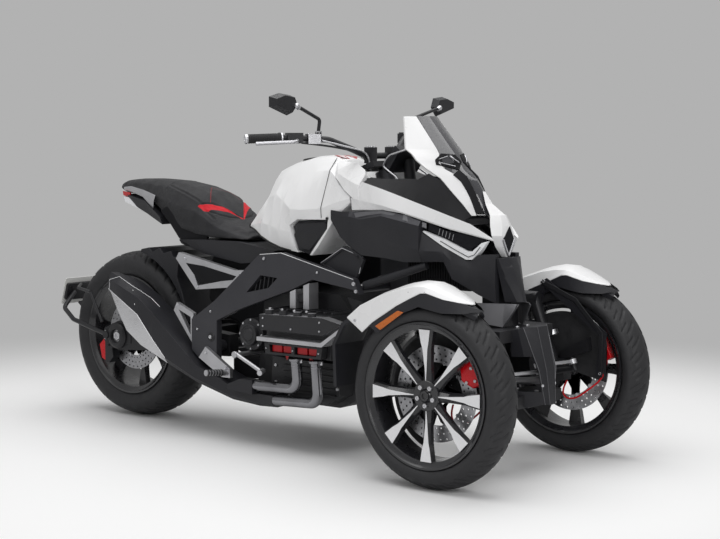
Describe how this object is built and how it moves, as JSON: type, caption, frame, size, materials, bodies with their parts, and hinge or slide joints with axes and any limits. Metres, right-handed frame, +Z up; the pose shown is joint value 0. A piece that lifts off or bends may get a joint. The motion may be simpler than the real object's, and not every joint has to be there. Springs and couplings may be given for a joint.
{
  "type": "motorized trike",
  "caption": "Leaning three-wheeled motorcycle with two steered front wheels, a driven rear wheel, faired front body, open flat engine and twin silencers.",
  "frame": {"origin": "on the floor under the middle of the overall length and width", "axes": "+X forward, +Y left, +Z up"},
  "size_m": [2.4412, 1.006, 1.252],
  "materials": {
    "tyre_rubber": "matt black rubber with tread",
    "machined_rim": "machined silver faces and gloss black sides",
    "disc_steel": "brushed drilled steel",
    "white_paint": "gloss pearl white",
    "dark_plastic": "fine grained dark grey",
    "grey_frame": "satin dark grey metallic",
    "black_metal": "satin black",
    "silver_cast": "satin cast silver",
    "red_caliper": "gloss red",
    "exhaust_steel": "dark polished steel",
    "smoked_screen": "smoked clear plastic",
    "seat_cover": "grained black cover with red accent",
    "lamp_lens": "clear lamp lens over dark housing",
    "light_bar": "milky white light bar",
    "red_lens": "red lamp lens",
    "plate_white": "blank plate",
    "grip_rubber": "ribbed black rubber"
  },
  "bodies": {
    "chassis": {"suspension_arms": "black_metal", "main_frame": "grey_frame", "front_frame": "black_metal", "engine": "black_metal", "engine_covers": "silver_cast", "exhaust_headers": "exhaust_steel", "silencers": "dark_plastic", "rear_brackets": "silver_cast", "tank_cover": "white_paint", "intake_covers": "dark_plastic", "side_blades": "white_paint", "side_cowls": "dark_plastic", "headlamps": "lamp_lens", "nose_beak": "white_paint", "nose_spine": "dark_plastic", "lamp_bars": "light_bar", "nose_guards": "silver_cast", "windscreen": "smoked_screen", "screen_sides": "white_paint", "cockpit": "dark_plastic", "seat": "seat_cover", "tail_cowl": "dark_plastic", "tail_lamp": "red_lens", "rear_mudguard": "dark_plastic", "swingarm": "black_metal", "rear_caliper": "red_caliper", "plate_holder": "black_metal", "number_plate": "plate_white"},
    "steering": {"handlebar": "black_metal", "grips": "grip_rubber", "hand_controls": "black_metal", "mirrors": "black_metal"},
    "steering_crank": {"steering_crank": "silver_cast"},
    "tie_rod_right": {"tie_rod_right": "silver_cast"},
    "tie_rod_left": {"tie_rod_left": "silver_cast"},
    "front_right_knuckle": {"knuckle_right": "black_metal", "front_caliper_right": "red_caliper", "mudguard_right": "dark_plastic", "mudguard_cover_right": "white_paint"},
    "front_left_knuckle": {"knuckle_left": "black_metal", "front_caliper_left": "red_caliper", "mudguard_left": "dark_plastic", "mudguard_cover_left": "white_paint"},
    "front_right_wheel": {"tyre_front_right": "tyre_rubber", "rim_front_right": "machined_rim", "brake_disc_front_right": "disc_steel"},
    "front_left_wheel": {"tyre_front_left": "tyre_rubber", "rim_front_left": "machined_rim", "brake_disc_front_left": "disc_steel"},
    "rear_wheel": {"tyre_rear": "tyre_rubber", "rim_rear": "machined_rim", "brake_disc_rear": "disc_steel"}
  },
  "joints": [
    {"name": "steering_head", "type": "hinge", "parent": "chassis", "child": "steering", "pos_m": [0.42776, 0, 0.93], "axis": [-0.342, 0, 0.9397], "range_deg": [-30, 30]},
    {"name": "crank_pivot", "type": "hinge", "parent": "chassis", "child": "steering_crank", "pos_m": [0.87753, 0, 0.35], "axis": [-0.342, 0, 0.9397], "range_deg": [-30, 30]},
    {"name": "right_kingpin", "type": "hinge", "parent": "chassis", "child": "front_right_knuckle", "pos_m": [0.86734, -0.205, 0.378], "axis": [-0.342, 0, 0.9397], "range_deg": [-30, 30]},
    {"name": "right_tie_rod_end", "type": "hinge", "parent": "front_right_knuckle", "child": "tie_rod_right", "pos_m": [1.05839, -0.205, 0.35014], "axis": [-0.342, 0, 0.9397], "range_deg": [-30, 30]},
    {"name": "front_right_spin", "type": "hinge", "parent": "front_right_knuckle", "child": "front_right_wheel", "pos_m": [0.931, -0.406, 0.302], "axis": [0, 1, 0], "continuous": true},
    {"name": "left_kingpin", "type": "hinge", "parent": "chassis", "child": "front_left_knuckle", "pos_m": [0.86734, 0.205, 0.378], "axis": [-0.342, 0, 0.9397], "range_deg": [-30, 30]},
    {"name": "left_tie_rod_end", "type": "hinge", "parent": "front_left_knuckle", "child": "tie_rod_left", "pos_m": [1.05839, 0.205, 0.35014], "axis": [-0.342, 0, 0.9397], "range_deg": [-30, 30]},
    {"name": "front_left_spin", "type": "hinge", "parent": "front_left_knuckle", "child": "front_left_wheel", "pos_m": [0.931, 0.406, 0.302], "axis": [0, 1, 0], "continuous": true},
    {"name": "rear_spin", "type": "hinge", "parent": "chassis", "child": "rear_wheel", "pos_m": [-0.799, 0, 0.326], "axis": [0, 1, 0], "continuous": true}
  ],
  "couplings": [
    {"joint": "crank_pivot", "follows": "steering_head", "ratio": 1},
    {"joint": "right_kingpin", "follows": "steering_head", "ratio": 1},
    {"joint": "left_kingpin", "follows": "steering_head", "ratio": 1},
    {"joint": "right_tie_rod_end", "follows": "steering_head", "ratio": -1},
    {"joint": "left_tie_rod_end", "follows": "steering_head", "ratio": -1}
  ]
}
